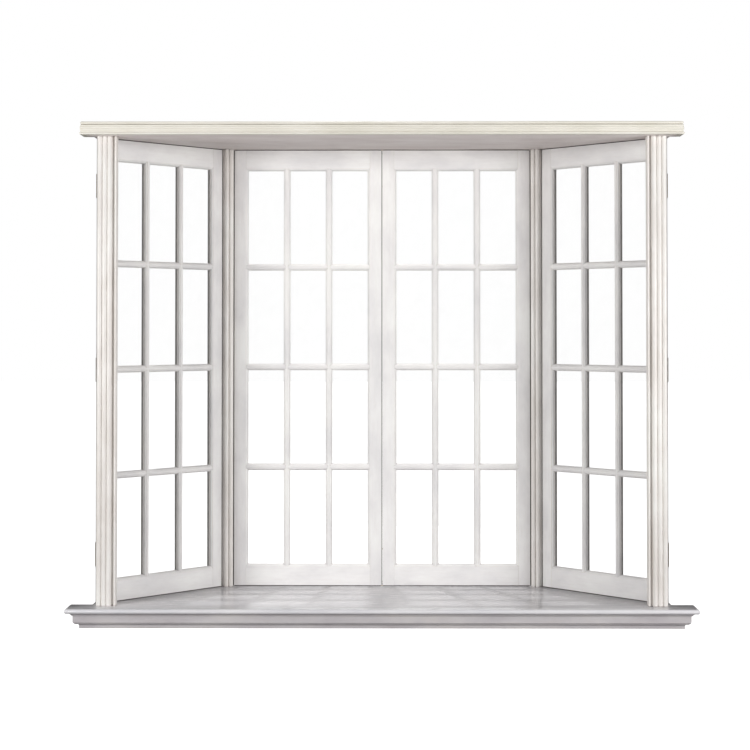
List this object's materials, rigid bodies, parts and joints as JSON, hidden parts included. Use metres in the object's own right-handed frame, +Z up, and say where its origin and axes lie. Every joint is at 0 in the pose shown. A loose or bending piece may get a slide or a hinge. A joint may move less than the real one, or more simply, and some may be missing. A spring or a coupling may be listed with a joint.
{
  "type": "bay window",
  "caption": "Timber bay window with glazed outward-opening casement sashes, reeded corner mullions and casings, a moulded head and a window seat.",
  "frame": {"origin": "middle of the bounding box's underside, on the surface that the window stands on", "axes": "+X to the right seen from the room, +Y out of doors through the centre sashes, +Z up"},
  "size_m": [2.37, 0.682, 1.904],
  "materials": {
    "white_paint": "softwood under white oil paint, brushed, satin",
    "sash_paint": "softwood under white oil paint, brushed, satin",
    "cream_paint": "softwood under aged cream oil paint, satin",
    "seat_paint": "softwood board under glossy white oil paint",
    "bare_timber": "sawn softwood",
    "window_glass": "clear float glass",
    "putty": "painted linseed putty",
    "brass": "satin",
    "steel": "turned"
  },
  "bodies": {
    "frame": {"seat_board": "seat_paint", "bed_moulding": "seat_paint", "base_bearers": "bare_timber", "head_board": "white_paint", "head_moulding": "cream_paint", "head_bearers": "bare_timber", "left_casing": "white_paint", "right_casing": "white_paint", "left_mullion": "white_paint", "right_mullion": "white_paint", "left_jamb": "white_paint", "right_jamb": "white_paint", "frame_hinge_leaves": "brass", "hinge_pins": "steel", "bolt_keepers": "brass"},
    "left_flank_sash": {"left_flank_hinge_stile": "sash_paint", "left_flank_free_stile": "sash_paint", "left_flank_top_rail": "sash_paint", "left_flank_bottom_rail": "sash_paint", "left_flank_glazing_bars": "sash_paint", "left_flank_panes": "window_glass", "left_flank_putty": "putty", "left_flank_hinge_leaves": "brass", "left_flank_bolt_plates": "brass"},
    "left_centre_sash": {"left_centre_hinge_stile": "sash_paint", "left_centre_free_stile": "sash_paint", "left_centre_top_rail": "sash_paint", "left_centre_bottom_rail": "sash_paint", "left_centre_glazing_bars": "sash_paint", "left_centre_panes": "window_glass", "left_centre_putty": "putty", "left_centre_hinge_leaves": "brass", "left_centre_bolt_plates": "brass"},
    "right_centre_sash": {"right_centre_hinge_stile": "sash_paint", "right_centre_free_stile": "sash_paint", "right_centre_top_rail": "sash_paint", "right_centre_bottom_rail": "sash_paint", "right_centre_glazing_bars": "sash_paint", "right_centre_panes": "window_glass", "right_centre_putty": "putty", "right_centre_hinge_leaves": "brass", "right_centre_bolt_plates": "brass"},
    "right_flank_sash": {"right_flank_hinge_stile": "sash_paint", "right_flank_free_stile": "sash_paint", "right_flank_top_rail": "sash_paint", "right_flank_bottom_rail": "sash_paint", "right_flank_glazing_bars": "sash_paint", "right_flank_panes": "window_glass", "right_flank_putty": "putty", "right_flank_hinge_leaves": "brass", "right_flank_bolt_plates": "brass"},
    "left_flank_top_bolt": {"left_flank_top_bolt": "brass"},
    "left_flank_bottom_bolt": {"left_flank_bottom_bolt": "brass"},
    "left_centre_top_bolt": {"left_centre_top_bolt": "brass"},
    "left_centre_bottom_bolt": {"left_centre_bottom_bolt": "brass"},
    "right_centre_top_bolt": {"right_centre_top_bolt": "brass"},
    "right_centre_bottom_bolt": {"right_centre_bottom_bolt": "brass"},
    "right_flank_top_bolt": {"right_flank_top_bolt": "brass"},
    "right_flank_bottom_bolt": {"right_flank_bottom_bolt": "brass"}
  },
  "joints": [
    {"name": "left_flank_swing", "type": "hinge", "parent": "frame", "child": "left_flank_sash", "pos_m": [-1.09074, -0.17307, 0.966], "axis": [0, 0, 1], "range_deg": [0, 90]},
    {"name": "left_centre_swing", "type": "hinge", "parent": "frame", "child": "left_centre_sash", "pos_m": [-0.604, 0.3012, 0.966], "axis": [0, 0, 1], "range_deg": [0, 90]},
    {"name": "right_centre_swing", "type": "hinge", "parent": "frame", "child": "right_centre_sash", "pos_m": [0.604, 0.3012, 0.966], "axis": [0, 0, -1], "range_deg": [0, 90]},
    {"name": "right_flank_swing", "type": "hinge", "parent": "frame", "child": "right_flank_sash", "pos_m": [1.09074, -0.17307, 0.966], "axis": [0, 0, -1], "range_deg": [0, 90]},
    {"name": "left_flank_top_bolt_slide", "type": "slide", "parent": "left_flank_sash", "child": "left_flank_top_bolt", "axis": [0, 0, 1], "range_m": [0, 0.012]},
    {"name": "left_flank_bottom_bolt_slide", "type": "slide", "parent": "left_flank_sash", "child": "left_flank_bottom_bolt", "axis": [0, 0, -1], "range_m": [0, 0.012]},
    {"name": "left_centre_top_bolt_slide", "type": "slide", "parent": "left_centre_sash", "child": "left_centre_top_bolt", "axis": [0, 0, 1], "range_m": [0, 0.012]},
    {"name": "left_centre_bottom_bolt_slide", "type": "slide", "parent": "left_centre_sash", "child": "left_centre_bottom_bolt", "axis": [0, 0, -1], "range_m": [0, 0.012]},
    {"name": "right_centre_top_bolt_slide", "type": "slide", "parent": "right_centre_sash", "child": "right_centre_top_bolt", "axis": [0, 0, 1], "range_m": [0, 0.012]},
    {"name": "right_centre_bottom_bolt_slide", "type": "slide", "parent": "right_centre_sash", "child": "right_centre_bottom_bolt", "axis": [0, 0, -1], "range_m": [0, 0.012]},
    {"name": "right_flank_top_bolt_slide", "type": "slide", "parent": "right_flank_sash", "child": "right_flank_top_bolt", "axis": [0, 0, 1], "range_m": [0, 0.012]},
    {"name": "right_flank_bottom_bolt_slide", "type": "slide", "parent": "right_flank_sash", "child": "right_flank_bottom_bolt", "axis": [0, 0, -1], "range_m": [0, 0.012]}
  ]
}
